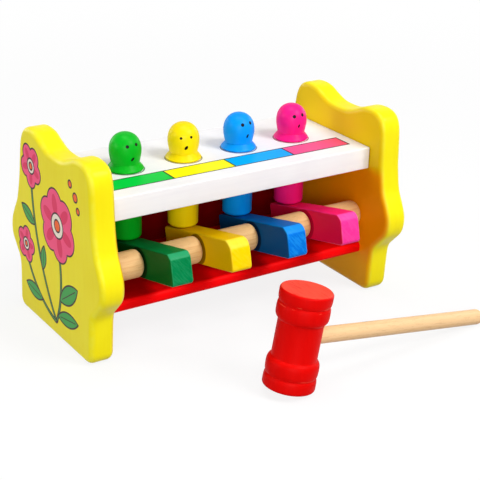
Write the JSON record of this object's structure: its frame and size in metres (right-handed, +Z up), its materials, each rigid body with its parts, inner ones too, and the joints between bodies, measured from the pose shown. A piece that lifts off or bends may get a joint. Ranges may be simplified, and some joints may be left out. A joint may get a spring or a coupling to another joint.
{
  "type": "peg pounding bench",
  "caption": "Wooden toy bench with domed pegs standing in its deck, levers on an axle below that pop the pegs up, and a turned mallet lying in front.",
  "frame": {"origin": "on the floor, in the middle of the box round the bench and the mallet that lies in front of it", "axes": "+X along the bench to its right end, +Y from its lever side to its back, +Z up"},
  "size_m": [0.2282, 0.1946, 0.119],
  "materials": {
    "panel_yellow": "gloss paint on smooth wood",
    "deck_white": "gloss paint on smooth wood",
    "board_red": "gloss paint on smooth wood",
    "mallet_red": "gloss paint on smooth wood",
    "lever_green": "gloss paint on smooth wood",
    "lever_yellow": "gloss paint on smooth wood",
    "lever_blue": "gloss paint on smooth wood",
    "lever_pink": "gloss paint on smooth wood",
    "peg_green": "gloss paint on smooth wood",
    "peg_yellow": "gloss paint on smooth wood",
    "peg_blue": "gloss paint on smooth wood",
    "peg_pink": "gloss paint on smooth wood",
    "bare_wood": "bare, sanded smooth"
  },
  "bodies": {
    "bench": {"left_end_panel": "panel_yellow", "right_end_panel": "panel_yellow", "top_deck": "deck_white", "bottom_shelf": "board_red", "back_board": "board_red", "deck_dowels": "bare_wood", "shelf_dowels": "bare_wood", "back_board_dowels": "bare_wood", "axle_rod": "bare_wood"},
    "lever_green": {"lever_green": "lever_green"},
    "lever_yellow": {"lever_yellow": "lever_yellow"},
    "lever_blue": {"lever_blue": "lever_blue"},
    "lever_pink": {"lever_pink": "lever_pink"},
    "peg_green": {"peg_green": "peg_green"},
    "peg_yellow": {"peg_yellow": "peg_yellow"},
    "peg_blue": {"peg_blue": "peg_blue"},
    "peg_pink": {"peg_pink": "peg_pink"},
    "spacer_1": {"spacer_1": "bare_wood"},
    "spacer_2": {"spacer_2": "bare_wood"},
    "spacer_3": {"spacer_3": "bare_wood"},
    "spacer_4": {"spacer_4": "bare_wood"},
    "spacer_5": {"spacer_5": "bare_wood"},
    "mallet": {"mallet_head": "mallet_red", "mallet_handle": "bare_wood"}
  },
  "joints": [
    {"name": "lever_green_hinge", "type": "hinge", "parent": "bench", "child": "lever_green", "pos_m": [-0.0671, 0.00969, 0.049], "axis": [1, 0, 0], "range_deg": [0, 54]},
    {"name": "lever_yellow_hinge", "type": "hinge", "parent": "bench", "child": "lever_yellow", "pos_m": [-0.02846, 0.00969, 0.049], "axis": [1, 0, 0], "range_deg": [0, 54]},
    {"name": "lever_blue_hinge", "type": "hinge", "parent": "bench", "child": "lever_blue", "pos_m": [0.01018, 0.00969, 0.049], "axis": [1, 0, 0], "range_deg": [0, 54]},
    {"name": "lever_pink_hinge", "type": "hinge", "parent": "bench", "child": "lever_pink", "pos_m": [0.04882, 0.00969, 0.049], "axis": [1, 0, 0], "range_deg": [0, 54]},
    {"name": "peg_green_slide", "type": "slide", "parent": "bench", "child": "peg_green", "axis": [0, 0, 1], "range_m": [0, 0.028]},
    {"name": "peg_yellow_slide", "type": "slide", "parent": "bench", "child": "peg_yellow", "axis": [0, 0, 1], "range_m": [0, 0.028]},
    {"name": "peg_blue_slide", "type": "slide", "parent": "bench", "child": "peg_blue", "axis": [0, 0, 1], "range_m": [0, 0.028]},
    {"name": "peg_pink_slide", "type": "slide", "parent": "bench", "child": "peg_pink", "axis": [0, 0, 1], "range_m": [0, 0.028]},
    {"name": "spacer_1_spin", "type": "hinge", "parent": "bench", "child": "spacer_1", "pos_m": [-0.08642, 0.00969, 0.049], "axis": [1, 0, 0], "continuous": true},
    {"name": "spacer_2_spin", "type": "hinge", "parent": "bench", "child": "spacer_2", "pos_m": [-0.04778, 0.00969, 0.049], "axis": [1, 0, 0], "continuous": true},
    {"name": "spacer_3_spin", "type": "hinge", "parent": "bench", "child": "spacer_3", "pos_m": [-0.00914, 0.00969, 0.049], "axis": [1, 0, 0], "continuous": true},
    {"name": "spacer_4_spin", "type": "hinge", "parent": "bench", "child": "spacer_4", "pos_m": [0.0295, 0.00969, 0.049], "axis": [1, 0, 0], "continuous": true},
    {"name": "spacer_5_spin", "type": "hinge", "parent": "bench", "child": "spacer_5", "pos_m": [0.06814, 0.00969, 0.049], "axis": [1, 0, 0], "continuous": true},
    {"name": "mallet_lift", "type": "slide", "parent": "bench", "child": "mallet", "axis": [0, 0, 1], "range_m": [0, 0.1]}
  ],
  "couplings": [
    {"joint": "peg_green_slide", "follows": "lever_green_hinge", "m_per_rad": 0.0296},
    {"joint": "peg_yellow_slide", "follows": "lever_yellow_hinge", "m_per_rad": 0.0296},
    {"joint": "peg_blue_slide", "follows": "lever_blue_hinge", "m_per_rad": 0.0296},
    {"joint": "peg_pink_slide", "follows": "lever_pink_hinge", "m_per_rad": 0.0296}
  ]
}
